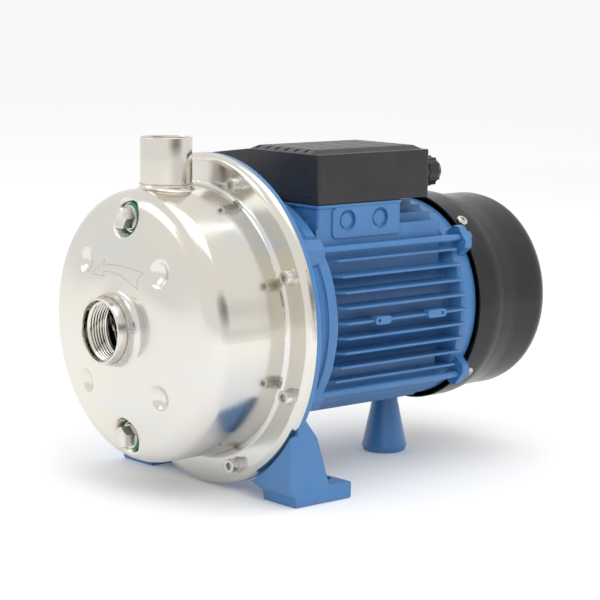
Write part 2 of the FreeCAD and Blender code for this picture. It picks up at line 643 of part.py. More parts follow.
def make_rotor():
    nodes["rotor_core"] = tube(*CORE_Y, ROTOR_R, 13.0)
    rings = []
    for y0, y1, fin in ((CORE_Y[0] - 7, CORE_Y[0], -6), (CORE_Y[1], CORE_Y[1] + 7, 7)):
        blades = []
        for k in range(6):
            start = min(y0, y0 + fin) if fin < 0 else y0 + 6.5
            blade = box(24, 32, start, start + 6.5, -1, 1)
            blade.rotate(V(0, 0, 0), V(0, 1, 0), 60 * k)
            blades.append(blade)
        rings.append(fused([tube(y0, y1, 33.5, 22)] + blades))
    nodes["rotor_end_rings"] = Part.makeCompound(rings)
    shaft = turned([(-71.0, 0), (-71.0, 5, 0.8), (-66, 5), (-66, 7), (-34, 7), (-30, 9.5), (24, 9.5),
                    (24, 10), (40, 10), (40, 12.5), (62, 12.5), (62, 13), (163, 13), (163, 11), (176, 11),
                    (176, 8.5), (188, 8.5), (188, 7.5), (200, 7.5), (200, 7), (224, 7), (224, 6.3),
                    (225.2, 6.3), (225.2, 7), (228, 7, 0.8), (228, 0)])
    nodes["shaft"] = shaft.cut(box(-2.5, 2.5, -65, -53, 4.4, 9))


def ring_with_groove(spec, inner, outer):
    ring = tube(spec["y"], spec["y"] + spec["width"], outer, inner)
    centre = V(0, spec["y"] + spec["width"] / 2, 0)
    return ring.cut(Part.makeTorus(spec["pitch"], spec["ball"] + 0.05, centre, V(0, 1, 0)))


def make_bearing(name, spec):
    middle = spec["y"] + spec["width"] / 2
    gap = spec["ball"] * 0.55
    nodes[f"{name}_bearing_inner_ring"] = ring_with_groove(spec, spec["bore"], spec["pitch"] - gap)
    nodes[f"{name}_bearing_outer_ring"] = ring_with_groove(spec, spec["pitch"] + gap, spec["outside"])
    centres = [on_circle(spec["pitch"], 360 / BALLS * k, middle) for k in range(BALLS)]
    nodes[f"{name}_bearing_balls"] = Part.makeCompound([Part.makeSphere(spec["ball"], at) for at in centres])
    half = spec["width"] * 0.34
    cage = tube(middle - half, middle + half, spec["pitch"] + 1.0, spec["pitch"] - 1.0)
    for at in centres:
        outward = V(at.x, 0, at.z)
        cage = cage.cut(rod(at - outward * 0.3, outward, spec["pitch"], spec["ball"] + 0.1))
    nodes[f"{name}_bearing_cage"] = cage


def rear_shield():
    spigot = FRAME_BORE_R - 0.05
    body = turned([(175, 20.02), (175, 26, 1), (184, 30, 3), (184, 54, 2), (175.5, 56), (175.5, spigot),
                   (FRAME_BACK_Y, spigot), (FRAME_BACK_Y, SHIELD_R, 1), (SHIELD_SKIRT_Y, SHIELD_R, 4),
                   (SHIELD_SKIRT_Y, SHIELD_R - 4, 1), (190, SHIELD_R - 7, 2), (SHIELD_BACK_Y, 58, 6),
                   (SHIELD_BACK_Y, 9), (189, 9), (189, 20.02)])
    inside = tube(170, 200, SHIELD_R - 3)
    ears = four_corners(tie_ear(*SHIELD_EAR_Y, *SHIELD_EAR))
    body = fused([body] + [ear.cut(inside) for ear in ears])
    lugs = []
    for degrees in COVER_SCREW_ANGLES:
        lug = extruded([(66, -6), (COVER_BAND_R, -6), (COVER_BAND_R, 6), (66, 6)],
                       lambda x, z: V(x, 190, z), V(0, 16, 0))
        lug = lug.common(tube(188, 207, COVER_BAND_R - 1.25))
        lug.rotate(V(0, 0, 0), V(0, 1, 0), -degrees)
        lugs.append(lug)
    body = fused([body] + lugs)
    for hole in tie_holes(170, 200, TIE_R + 0.3):
        body = body.cut(hole)
    for degrees in COVER_SCREW_ANGLES:
        outward = on_circle(1, degrees, 0)
        body = body.cut(rod(outward * 64 + V(0, COVER_SCREW_Y, 0), outward, 30, 2.0))
    return body


def make_tie_bolts():
    head_y = SHIELD_EAR_Y[1]
    bolt = fused([tube(22, head_y, TIE_R), hexagon(8, head_y, head_y + 3)])
    nodes["tie_bolts"] = Part.makeCompound([facing(bolt, V(0, 1, 0), V(x, 0, z))
                                            for x in (-TIE_X, TIE_X) for z in (-TIE_Z, TIE_Z)])


def wave_washer():
    back = REAR_BEARING["y"] + REAR_BEARING["width"]
    return tube(back, back + 1.0, 19.5, 16.5)


def cooling_fan():
    hub = tube(FAN_Y, FAN_Y + 20, 14, 7.02)
    disc = turned([(FAN_Y, 13), (FAN_Y, 22), (FAN_Y + 6, 30, 8), (FAN_Y + 6, 64), (FAN_Y + 8, 64),
                   (FAN_Y + 8, 29, 8),
                   (FAN_Y + 2, 20), (FAN_Y + 2, 13)])
    blades = []
    for k in range(8):
        blade = extruded([(FAN_Y + 7, 13), (FAN_Y + 20, 13), (FAN_Y + 34, 36, 4), (FAN_Y + 34, 66, 2),
                          (FAN_Y + 12, 66, 2), (FAN_Y + 7, 63)],
                         lambda y, x: V(x, y, -0.9), V(0, 0, 1.8))
        blade.rotate(V(0, 0, 0), V(0, 1, 0), 45 * k)
        blades.append(blade)
    return fused([hub, disc] + blades).cut(tube(FAN_Y - 1, FAN_Y + 40, 7.02))


def fan_clip():
    clip = tube(224.05, 225.15, 9.5, 6.32)
    return clip.cut(box(-2.2, 2.2, 223, 226, 0, 12))


def fan_cover():
    """Pressed cowl over the fan, with round air slots in its back."""
    path = [(COVER_FRONT_Y, COVER_BAND_R), (214, COVER_BAND_R, 30), (221.0, 78.3), (222.2, 77.3),
            (238, COVER_R, 60), (262, COVER_R), (262.6, COVER_R - 0.5),
            (COVER_BACK_Y, COVER_R - 0.5, 14), (COVER_BACK_Y, 8)]
    cover = pressed_sheet(path, 1.2).fuse(tube(COVER_BACK_Y - 1.2, COVER_BACK_Y, 8.5))
    slots = []
    for ring, count, width in ((18, 6, 4), (27, 10, 4), (36, 14, 4), (45, 18, 4)):
        step = 360 / count
        for k in range(count):
            reach = math.radians(step) * ring * 0.62 / 2
            slot = extruded([(-reach, ring - width / 2, 1.9), (-reach, ring + width / 2, 1.9),
                             (reach, ring + width / 2, 1.9), (reach, ring - width / 2, 1.9)],
                            lambda x, z: V(x, COVER_BACK_Y - 5, z), V(0, 10, 0))
            slot.rotate(V(0, 0, 0), V(0, 1, 0), step * k)
            slots.append(slot)
    cover = cover.cut(Part.makeCompound(slots))
    for degrees in COVER_SCREW_ANGLES:
        outward = on_circle(1, degrees, 0)
        cover = cover.cut(rod(outward * 60 + V(0, COVER_SCREW_Y, 0), outward, 40, 2.3))
    return cover


def fan_cover_screws():
    screw = pan_screw(2.0, 12.0, 4.4, 2.8)
    placed = []
    for degrees in COVER_SCREW_ANGLES:
        outward = on_circle(1, degrees, 0)
        placed.append(facing(screw, outward * -1, outward * (COVER_BAND_R + 0.05) + V(0, COVER_SCREW_Y, 0)))
    return Part.makeCompound(placed)


# ---------------------------------------------------------------- terminal box
def box_shell(z0, z1, wall, floor=0.0, roof=0.0):
    """Rectangular box part with rounded upright corners; it is open where it has no floor or roof."""
    def prism(inset, low, high):
        rounding = max(BOX_CORNER - inset, 0.8)
        return extruded([(-BLOCK_X + inset, BLOCK_FRONT_Y + inset, rounding),
                         (BLOCK_X - inset, BLOCK_FRONT_Y + inset, rounding),
                         (BLOCK_X - inset, BOX_BACK_Y - inset, rounding),
                         (-BLOCK_X + inset, BOX_BACK_Y - inset, rounding)],
                        lambda x, y: V(x, y, low), V(0, 0, high - low))
    inside_low = z0 + floor if floor else z0 - 1
    inside_high = z1 - roof if roof else z1 + 1
    return prism(0, z0, z1).cut(prism(wall, inside_low, inside_high))


LID_SLOPE_X = -18.0
LID_SLOPE_DROP = 5.5
LID_RISE = 2.8
LID_SCREWS = ((-50.0, 67.5), (-50.0, 145.0))


def lid_platform():
    """Raised middle of the lid, bevelled all round."""
    ends = extruded([(BLOCK_FRONT_Y + 0.4, BOX_TOP - 2), (BLOCK_FRONT_Y + 0.4, BOX_TOP),
                     (BLOCK_FRONT_Y + 7, BOX_TOP + LID_RISE, 2), (BOX_BACK_Y - 6, BOX_TOP + LID_RISE, 2),
                     (BOX_BACK_Y - 0.6, BOX_TOP), (BOX_BACK_Y - 0.6, BOX_TOP - 2)],
                    lambda y, z: V(LID_SLOPE_X + 2, y, z), V(68, 0, 0))
    sides = extruded([(LID_SLOPE_X + 1, BOX_TOP - 2), (LID_SLOPE_X + 1, BOX_TOP),
                      (LID_SLOPE_X + 6, BOX_TOP + 4), (46, BOX_TOP + 4), (52, BOX_TOP), (52, BOX_TOP - 2)],
                     lambda x, z: V(x, 40, z), V(0, 130, 0))
    return ends.common(sides)


def lid_grooves():
    grooves = []
    for k in range(6):
        x = LID_SLOPE_X + 7 + 10.6 * k
        floor = BOX_TOP + LID_RISE - 1.9
        grooves.append(extruded([(BLOCK_FRONT_Y, BOX_TOP + 0.5), (BLOCK_FRONT_Y + 6.6, floor), (158, floor),
                                 (158, BOX_TOP + 9), (BLOCK_FRONT_Y, BOX_TOP + 9)],
                                lambda y, z: V(x - 1.1, y, z), V(2.2, 0, 0)))
    return grooves


def terminal_lid():
    """Deep lid with a raised, grooved middle; its far side slopes down."""
    low_x = -BLOCK_X + BOX_WALL
    shell = box_shell(BOX_SEAM, BOX_TOP, BOX_WALL, roof=BOX_WALL).fuse(lid_platform())
    slope_metal = box(-BLOCK_X + 1, LID_SLOPE_X, BLOCK_FRONT_Y + 1, BOX_BACK_Y - 1,
                      BOX_TOP - 10, BOX_TOP - 1)
    slope_inside = extruded([(LID_SLOPE_X, BOX_TOP - BOX_WALL), (low_x, BOX_TOP - LID_SLOPE_DROP - BOX_WALL),
                             (low_x, BOX_TOP - 20), (LID_SLOPE_X, BOX_TOP - 20)],
                            lambda x, z: V(x, BLOCK_FRONT_Y + BOX_WALL, z),
                            V(0, BOX_BACK_Y - BLOCK_FRONT_Y - 2 * BOX_WALL, 0))
    slope = extruded([(LID_SLOPE_X, BOX_TOP), (-BLOCK_X - 2, BOX_TOP - LID_SLOPE_DROP),
                      (-BLOCK_X - 2, BOX_TOP + 9), (LID_SLOPE_X, BOX_TOP + 9)],
                     lambda x, z: V(x, 40, z), V(0, 130, 0))
    shell = shell.fuse(slope_metal).cut(slope_inside)
    for x, y in LID_SCREWS:
        shell = shell.fuse(rod(V(x, y, BOX_SEAM), V(0, 0, 1), BOX_TOP - BOX_SEAM - 1, 5.5))
    shell = shell.cut(slope)
    for groove in lid_grooves():
        shell = shell.cut(groove)
    for x, y in LID_SCREWS:
        shell = shell.cut(rod(V(x, y, BOX_SEAM - 1), V(0, 0, 1), 60, 2.3))
        shell = shell.cut(rod(V(x, y, BOX_TOP - 9), V(0, 0, 1), 30, 4.4))
    return shell.cut(rod(V(GLAND_X, BOX_BACK_Y - 6, GLAND_Z), V(0, 1, 0), 12, 9.1))


def terminal_box():
    """Shallow black tray screwed on the cast block; the lid closes on it."""
    tray = box_shell(BLOCK_TOP + 0.8, BOX_SEAM, BOX_WALL, floor=2.5)
    tray = tray.cut(box(-30, 30, 66, 116, 70, BOX_SEAM - 2))
    for x, y in LID_SCREWS:
        tray = tray.fuse(rod(V(x, y, BLOCK_TOP + 0.8), V(0, 0, 1), BOX_SEAM - BLOCK_TOP - 0.8, 5.5))
        tray = tray.cut(rod(V(x, y, BLOCK_TOP + 2), V(0, 0, 1), 30, 2.0))
    for x, y in screw_places(*BOX_SCREWS):
        tray = tray.cut(rod(V(x, y, BLOCK_TOP - 1), V(0, 0, 1), 8, 2.3))
    return tray


def box_gasket():
    """Flat seal between the cast block and the tray."""
    ring = box(-BLOCK_X + 1, BLOCK_X - 1, BLOCK_FRONT_Y + 1, BLOCK_BACK_Y - 1, BLOCK_TOP, BLOCK_TOP + 0.8)
    ring = ring.cut(box(-BLOCK_WELL_X, BLOCK_WELL_X, *BLOCK_WELL_Y, BLOCK_TOP - 1, BLOCK_TOP + 2))
    for x, y in screw_places(*BOX_SCREWS):
        ring = ring.cut(rod(V(x, y, BLOCK_TOP - 1), V(0, 0, 1), 8, 2.3))
    return ring


def make_box_inside():
    floor = BLOCK_TOP + 0.8 + 2.5
    tray_screw = pan_screw(2.0, 12.0, 3.7, 2.4)
    nodes["box_screws"] = Part.makeCompound([facing(tray_screw, V(0, 0, -1), V(x, y, floor))
                                             for x, y in screw_places(*BOX_SCREWS)])
    lid_screw = pan_screw(2.0, 22.0, 4.0, 2.6)
    nodes["lid_screws"] = Part.makeCompound([facing(lid_screw, V(0, 0, -1), V(x, y, BOX_TOP - 9))
                                             for x, y in LID_SCREWS])
    board = box(-24, 24, 116.5, 146, floor, floor + 5)
    studs, nuts = [], []
    for x in (-15, 0, 15):
        for y in (124, 138):
            at = V(x, y, floor + 5)
            board = board.cut(rod(V(x, y, floor + 1), V(0, 0, 1), 9, 2.0))
            studs.append(rod(V(x, y, floor + 1.2), V(0, 0, 1), 14, 2.0))
            nuts.append(facing(hexagon(7, 0.6, 3.8).cut(tube(-1, 5, 2.0)), V(0, 0, 1), at))
    links = [extruded([(x - 4, 120, 1), (x + 4, 120, 1), (x + 4, 142, 1), (x - 4, 142, 1)],
                      lambda px, py: V(px, py, floor + 5), V(0, 0, 0.6)) for x in (-15, 0, 15)]
    for i, link in enumerate(links):
        for y in (124, 138):
            link = link.cut(rod(V(-15 + 15 * i, y, floor), V(0, 0, 1), 9, 2.0))
        links[i] = link
    nodes["terminal_board"] = board
    nodes["terminal_studs"] = Part.makeCompound(studs)
    nodes["terminal_nuts"] = Part.makeCompound(nuts)
    nodes["terminal_links"] = Part.makeCompound(links)
    nodes["capacitor"] = fused([rod(V(-34, 78, 99.5), V(1, 0, 0), 70, 12.0),
                                rod(V(36, 78, 99.5), V(1, 0, 0), 2, 10.5)])


def make_gland():
    """Plastic cable gland in the back of the lid, with its locknut inside."""
    along = V(0, 1, 0)
    at = V(GLAND_X, BOX_BACK_Y, GLAND_Z)
    body = fused([tube(-7, 0, 9.0), hexagon(19.5, 0, 6), tube(6, 13, 8.0)]).cut(tube(-9, 14, 5.6))
    nodes["gland_body"] = facing(body, along, at)
    dome = turned([(6.4, 8.2), (6.4, 10.6, 0.8), (16, 10.6, 1), (21, 7.8, 2), (21, 5.2), (14.0, 5.7),
                   (13.5, 8.2)])
    ribs = []
    for k in range(12):
        rib = box(9.6, 11.2, 7, 17, -0.8, 0.8)
        rib.rotate(V(0, 0, 0), V(0, 1, 0), 30 * k)
        ribs.append(rib)
    nodes["gland_nut"] = facing(fused([dome] + ribs), along, at)
    nodes["gland_seal"] = facing(tube(2, 13.2, 5.5, 3.2), along, at)
    nodes["gland_locknut"] = facing(hexagon(21, -6.5, -2.6).cut(tube(-10, 0, 9.05)), along, at)


# ---------------------------------------------------------------- rear foot
def rear_foot():
    """Conical foot under the back of the motor."""
    shape = turned([(-SHAFT_HEIGHT, 0), (-SHAFT_HEIGHT, 16.0, 1.5), (-SHAFT_HEIGHT + 4.5, 17.4, 2.0),
                    (-SHAFT_HEIGHT + 7.5, 16.4, 2), (REAR_FOOT_TOP, 9.3), (REAR_FOOT_TOP, 0)])
    shape = shape.cut(tube(-SHAFT_HEIGHT - 1, -SHAFT_HEIGHT + 16, 6.5)).cut(tube(-110, -70, 3.3))
    return facing(shape, V(0, 0, 1), V(0, REAR_FOOT_Y, 0))


def rear_foot_screw():
    screw = hex_bolt(3.2, 30.0, 10, 4)
    return facing(screw, V(0, 0, 1), V(0, REAR_FOOT_Y, -SHAFT_HEIGHT + 16))


# ---------------------------------------------------------------- assembly
def build():
    nodes["pump_casing"] = pump_casing()
    nodes["suction_socket"] = suction_socket()
    nodes["discharge_socket"] = discharge_socket()
    nodes["wear_ring"] = wear_ring()
    make_plugs()
    make_flange_screws()
    nodes["casing_cover"] = casing_cover()
    nodes["casing_gasket"] = casing_gasket()
    nodes["impeller"] = impeller()
    make_impeller_fixings()
    make_shaft_seal()
    nodes["slinger"] = slinger()
    nodes["bracket"] = bracket()
    nodes["motor_frame"] = motor_frame()
    nodes["stator_core"] = stator_core()
    nodes["stator_windings"] = stator_windings()
    make_rotor()
    make_bearing("front", FRONT_BEARING)
    make_bearing("rear", REAR_BEARING)
    nodes["rear_shield"] = rear_shield()
    nodes["bearing_wave_washer"] = wave_washer()
    make_tie_bolts()
    nodes["cooling_fan"] = cooling_fan()
    nodes["fan_clip"] = fan_clip()
    nodes["fan_cover"] = fan_cover()
    nodes["fan_cover_screws"] = fan_cover_screws()
    nodes["terminal_box"] = terminal_box()
    nodes["box_gasket"] = box_gasket()
    nodes["terminal_lid"] = terminal_lid()
    make_box_inside()
    make_gland()
    nodes["rear_foot"] = rear_foot()
    nodes["rear_foot_screw"] = rear_foot_screw()


def export():
    os.makedirs("parts", exist_ok=True)
    for name, shape in nodes.items():
        shape = shape.copy()
        shape.translate(V(0, -FOOT_BOLT_Y, SHAFT_HEIGHT))
        shape.exportStep(f"parts/{name}.step")


build()
export()
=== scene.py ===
"""Centrifugal pump: threads, welds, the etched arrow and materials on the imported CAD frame."""
import json
import math

import bmesh
import bpy
from mathutils import Matrix, Vector


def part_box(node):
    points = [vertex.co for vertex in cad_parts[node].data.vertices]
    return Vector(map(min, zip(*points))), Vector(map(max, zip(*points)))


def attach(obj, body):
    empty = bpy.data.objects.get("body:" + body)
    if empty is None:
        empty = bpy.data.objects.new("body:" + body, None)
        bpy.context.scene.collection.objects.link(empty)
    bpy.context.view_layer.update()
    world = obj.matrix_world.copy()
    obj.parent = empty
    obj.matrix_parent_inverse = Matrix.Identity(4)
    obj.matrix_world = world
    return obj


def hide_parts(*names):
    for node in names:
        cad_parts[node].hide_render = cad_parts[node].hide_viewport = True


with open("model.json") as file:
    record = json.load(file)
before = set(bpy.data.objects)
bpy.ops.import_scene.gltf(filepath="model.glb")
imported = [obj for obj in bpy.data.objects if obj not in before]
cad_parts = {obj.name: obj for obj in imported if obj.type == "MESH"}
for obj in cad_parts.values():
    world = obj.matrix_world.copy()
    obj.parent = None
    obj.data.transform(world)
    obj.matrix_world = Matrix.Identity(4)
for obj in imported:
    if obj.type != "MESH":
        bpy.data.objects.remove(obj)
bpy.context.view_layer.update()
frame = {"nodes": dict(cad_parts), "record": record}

MM = 0.001
X, Y, Z = 0, 1, 2
NODES = frame["nodes"]
SHAFT_LOW, SHAFT_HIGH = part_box("shaft")
SHAFT_Z = (SHAFT_LOW[Z] + SHAFT_HIGH[Z]) / 2
SUCTION_LOW, SUCTION_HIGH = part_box("suction_socket")
DISCHARGE_LOW, DISCHARGE_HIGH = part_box("discharge_socket")
CASING_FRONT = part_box("pump_casing")[0][Y]

# Pipe sockets: radii of the outside, the counterbore and the thread's crest, and the counterbore's depth
THREAD_PITCH = 2.309 * MM
THREAD_DEPTH = THREAD_PITCH * 0.6403
SUCTION_SHAPE = {"outer": 22.7 * MM, "bore": 21.1 * MM, "crest": 19.48 * MM, "bore_depth": 5.0 * MM}
DISCHARGE_SHAPE = {"outer": 18.2 * MM, "bore": 16.9 * MM, "crest": 15.15 * MM, "bore_depth": 3.0 * MM}
RIM_EDGE = 0.5 * MM
SUCTION_WELD = {"radius": 23.6 * MM, "thickness": 1.15 * MM, "ripples": 64, "squeeze": 0.75}
DISCHARGE_WELD = {"radius": 18.1 * MM, "thickness": 0.55 * MM, "ripples": 56, "squeeze": 1.0}

# Outline of the etched arrow in mm right of and above the shaft, and the half width and height of its line
ARROW = ((-32.7, 35.0), (-16.4, 46.2), (-18.0, 41.9), (-11.7, 43.5), (4.1, 44.1), (27.8, 41.6), (21.5, 36.6),
         (23.1, 30.0), (4.8, 37.1), (-6.4, 38.8), (-17.6, 37.9), (-15.7, 34.8))
ARROW_STEP = 1.5
ARROW_HALF_WIDTH, ARROW_HEIGHT = 0.17 * MM, 0.08 * MM

# Lights point at the pump's middle; the camera stands in front of the suction port and to its right
LIGHT_TARGET = (0, 0, 0.12)
AZIMUTH, ELEVATION, ROLL = math.radians(49.179), math.radians(8.482), math.radians(0.586)
CAMERA_PLACE = (1.13501, -0.93298, 0.34805)
FOCAL_LENGTH, SENSOR = 123.335, 36.0


# ---------------------------------------------------------------- node helpers
def feed(tree, socket, value):
    """Link an output to an input, or set the input to a constant."""
    if isinstance(value, bpy.types.NodeSocket):
        tree.links.new(value, socket)
    else:
        socket.default_value = value


def input_of(node, key):
    """Input named by its place, as i0 or i1, or by its label with _ for a space."""
    if key[0] == "i" and key[1:].isdigit():
        return node.inputs[int(key[1:])]
    return node.inputs[key.replace("_", " ")]


def add(tree, kind, settings=None, **inputs):
    """Shader node with its settings and its inputs."""
    made = tree.nodes.new(kind)
    for key, value in (settings or {}).items():
        setattr(made, key, value)
    for key, value in inputs.items():
        feed(tree, input_of(made, key), value)
    return made


def math_node(tree, operation, a, b=0.0):
    return add(tree, "ShaderNodeMath", {"operation": operation}, i0=a, i1=b).outputs[0]


def noise(tree, vector, scale, detail=3.0, roughness=0.5):
    return add(tree, "ShaderNodeTexNoise", Vector=vector, Scale=scale, Detail=detail,
               Roughness=roughness).outputs["Fac"]


def remap(tree, value, low, high, to_low, to_high):
    return add(tree, "ShaderNodeMapRange", Value=value, From_Min=low, From_Max=high,
               To_Min=to_low, To_Max=to_high).outputs[0]


def clouds(tree, value, low=0.3, high=0.7):
    """Noise stretched to the whole range from 0 to 1."""
    return remap(tree, value, low, high, 0.0, 1.0)


def blend_colour(tree, factor, first, second):
    """Mix of two colours, each of which is an output or red, green and blue."""
    made = add(tree, "ShaderNodeMix", {"data_type": "RGBA"}, Factor=factor)
    first_input, second_input, mixed = made.inputs[6], made.inputs[7], made.outputs[2]
    for socket, colour in ((first_input, first), (second_input, second)):
        is_output = isinstance(colour, bpy.types.NodeSocket)
        feed(tree, socket, colour if is_output else (*colour, 1.0))
    return mixed


def bump(tree, height, distance, strength=1.0, normal=None):
    made = add(tree, "ShaderNodeBump", Height=height, Distance=distance, Strength=strength)
    if normal is not None:
        tree.links.new(normal, made.inputs["Normal"])
    return made.outputs[0]


def soft_edges(tree, radius):
    """Normals rounded over the sharp edges."""
    return add(tree, "ShaderNodeBevel", {"samples": 4}, Radius=radius).outputs[0]


def stretched(tree, vector, scale, turn=(0, 0, 0)):
    return add(tree, "ShaderNodeMapping", Vector=vector, Scale=scale, Rotation=turn).outputs[0]


def new_material(name, **values):
    """Material with its Principled shader; the values are set on the shader's own sockets."""
    material = bpy.data.materials.new(name)
    material.use_nodes = True
    tree = material.node_tree
    shader = tree.nodes["Principled BSDF"]
    for key, value in values.items():
        shader.inputs[key.replace("_", " ")].default_value = value
    where = tree.nodes.new("ShaderNodeTexCoord").outputs["Object"]
    return material, tree, shader, where


def wire(tree, shader, **sockets):
    for key, socket in sockets.items():
        tree.links.new(socket, shader.inputs[key.replace("_", " ")])


def round_shaft(tree, where):
    """Coordinates wrapped round the shaft: radius, place along it and a little of the angle."""
    across, along, above = add(tree, "ShaderNodeSeparateXYZ", Vector=where).outputs
    height = math_node(tree, "SUBTRACT", above, SHAFT_Z)
    square = math_node(tree, "ADD", math_node(tree, "MULTIPLY", across, across),
                       math_node(tree, "MULTIPLY", height, height))
    angle = math_node(tree, "ARCTAN2", across, height)
    return add(tree, "ShaderNodeCombineXYZ", X=math_node(tree, "SQRT", square), Y=along,
               Z=math_node(tree, "MULTIPLY", angle, 0.004)).outputs[0]


# ---------------------------------------------------------------- materials
def steel_tint(tree, where, scratches):
    """Warm and grey steel in clouds, with a bluish film in streaks and duller scratches."""
    warm_or_grey = blend_colour(tree, clouds(tree, noise(tree, where, 9.0, 3.0), 0.35, 0.65),
                                (0.745, 0.700, 0.610), (0.690, 0.675, 0.645))
    film = noise(tree, stretched(tree, where, (14, 14, 40), (0.0, 0.7, 0.0)), 1.0, 3.0, 0.55)
    filmed = blend_colour(tree, remap(tree, film, 0.52, 0.72, 0.0, 0.8), warm_or_grey, (0.66, 0.68, 0.69))
    return blend_colour(tree, remap(tree, scratches, 0.62, 0.75, 0.0, 0.35), filmed, (0.60, 0.575, 0.53))


def polished_steel():
    """Pressed stainless sheet: soft waves, polishing marks round the shaft and fine scratches."""
    material, tree, shader, where = new_material("polished_steel", Metallic=1.0)
    rings = round_shaft(tree, where)
    haze = noise(tree, where, 22.0, 4.0)
    marks = noise(tree, stretched(tree, rings, (1400, 1400, 160)), 1.0, 2.0, 0.6)
    scratches = noise(tree, stretched(tree, where, (60, 90, 1500), (0.5, 0.2, 0.7)), 1.0, 2.0, 0.7)
    rough = math_node(tree, "ADD", remap(tree, haze, 0.3, 0.7, 0.08, 0.20),
                      remap(tree, marks, 0.35, 0.65, 0.0, 0.05))
    wave = bump(tree, noise(tree, where, 14.0, 1.0), 0.8 * MM, 0.3)
    dents = bump(tree, noise(tree, where, 55.0, 2.0), 0.12 * MM, 0.5, wave)
    grain = bump(tree, marks, 0.0035 * MM, 0.8, dents)
    lines = bump(tree, scratches, 0.002 * MM, 0.6, grain)
    wire(tree, shader, Base_Color=steel_tint(tree, where, scratches), Roughness=rough, Normal=lines)
    return material


def bright_steel(name, colour, low, high, edge=0.3 * MM):
    """Turned or plated metal: fine tool marks, slight tarnish and rounded edges."""
    material, tree, shader, where = new_material(name, Metallic=1.0)
    cloud = noise(tree, where, 140.0, 4.0, 0.6)
    fine = noise(tree, where, 2600.0, 2.0, 0.6)
    dull = tuple(channel * 0.80 for channel in colour)
    tarnish = blend_colour(tree, clouds(tree, cloud, 0.35, 0.7), colour, dull)
    rough = math_node(tree, "ADD", remap(tree, cloud, 0.3, 0.7, low, high),
                      remap(tree, fine, 0.3, 0.7, 0.0, 0.06))
    grain = bump(tree, fine, 0.01 * MM, 0.5, soft_edges(tree, edge))
    wire(tree, shader, Base_Color=tarnish, Roughness=rough, Normal=grain)
    return material


def blue_enamel():
    """Blue paint over a cast surface, with small pits and orange peel."""
    material, tree, shader, where = new_material("blue_enamel", Coat_Weight=0.15, Coat_Roughness=0.18,
                                                 Specular_IOR_Level=0.5)
    cloud = noise(tree, where, 30.0, 4.0, 0.6)
    casting = noise(tree, where, 420.0, 3.0, 0.6)
    peel = noise(tree, where, 1500.0, 1.0)
    colour = blend_colour(tree, clouds(tree, cloud), (0.045, 0.166, 0.380), (0.056, 0.190, 0.425))
    pitted = blend_colour(tree, remap(tree, casting, 0.62, 0.78, 0.0, 0.5), colour, (0.030, 0.120, 0.29))
    rough = remap(tree, noise(tree, where, 260.0, 3.0), 0.3, 0.7, 0.30, 0.44)
    cast = bump(tree, casting, 0.16 * MM, 0.45, soft_edges(tree, 1.1 * MM))
    wire(tree, shader, Base_Color=pitted, Roughness=rough, Normal=bump(tree, peel, 0.03 * MM, 0.4, cast))
    return material


def black_cowl():
    """Smooth black paint of the fan cover."""
    material, tree, shader, where = new_material("black_cowl", Specular_IOR_Level=0.30)
    cloud = noise(tree, where, 26.0, 3.0)
    peel = noise(tree, where, 500.0, 1.0)
    colour = blend_colour(tree, clouds(tree, cloud), (0.012, 0.012, 0.014), (0.020, 0.020, 0.022))
    rough = remap(tree, noise(tree, where, 320.0, 3.0), 0.3, 0.7, 0.20, 0.26)
    wire(tree, shader, Base_Color=colour, Roughness=rough,
         Normal=bump(tree, peel, 0.004 * MM, 0.5, soft_edges(tree, 0.6 * MM)))
    return material


def moulded_plastic(name, first, second, low, high, grain_depth=0.04 * MM):
    """Plastic, rubber or ceramic in two close colours, with a roughness from low to high."""
    material, tree, shader, where = new_material(name, Specular_IOR_Level=0.45)
    cloud = noise(tree, where, 40.0, 3.0)
    grain = noise(tree, where, 2100.0, 2.0, 0.6)
    colour = blend_colour(tree, clouds(tree, cloud), first, second)
    rough = remap(tree, noise(tree, where, 380.0, 3.0), 0.3, 0.7, low, high)
    wire(tree, shader, Base_Color=colour, Roughness=rough,
         Normal=bump(tree, grain, grain_depth, 0.6, soft_edges(tree, 0.6 * MM)))
    return material


def laminated_steel():
    """Stack of thin steel sheets across the shaft."""
    material, tree, shader, where = new_material("laminated_steel", Metallic=0.9)
    bands = {"wave_type": "BANDS", "bands_direction": "Y"}
    sheets = add(tree, "ShaderNodeTexWave", bands, Vector=where, Scale=630.0, Distortion=0.3).outputs["Fac"]
    cloud = noise(tree, where, 90.0, 4.0)
    colour = blend_colour(tree, clouds(tree, cloud), (0.28, 0.28, 0.30), (0.40, 0.40, 0.41))
    rough = remap(tree, cloud, 0.3, 0.7, 0.35, 0.5)
    wire(tree, shader, Base_Color=colour, Roughness=rough, Normal=bump(tree, sheets, 0.1 * MM, 0.7))
    return material


def enamelled_wire():
    """Varnished copper wire wound round the shaft's axis, with painted shade darkening the grooves between
    the turns.
    """
    material, tree, shader, where = new_material("enamelled_wire", Metallic=0.7, Coat_Weight=0.6,
                                                 Coat_Roughness=0.15)
    bands = {"wave_type": "BANDS", "bands_direction": "DIAGONAL"}
    turns = add(tree, "ShaderNodeTexWave", bands, Vector=round_shaft(tree, where), Scale=260.0,
                Distortion=1.5, Detail=2.0).outputs["Fac"]
    # painted shade: the copper colour follows the bump's height and is darkest in the grooves between the
    # turns
    colour = blend_colour(tree, turns, (0.30, 0.10, 0.04), (0.68, 0.30, 0.13))
    wire(tree, shader, Base_Color=colour, Roughness=remap(tree, turns, 0.0, 1.0, 0.45, 0.3),
         Normal=bump(tree, turns, 0.5 * MM, 0.8))
    return material


def etched_line():
    """Brownish line burnt into the steel."""
    material, tree, shader, where = new_material("etched_line", Metallic=0.6)
    cloud = noise(tree, where, 900.0, 3.0)
    colour = blend_colour(tree, cloud, (0.26, 0.22, 0.17), (0.40, 0.36, 0.30))
    wire(tree, shader, Base_Color=colour, Roughness=remap(tree, cloud, 0.2, 0.8, 0.45, 0.6))
    return material


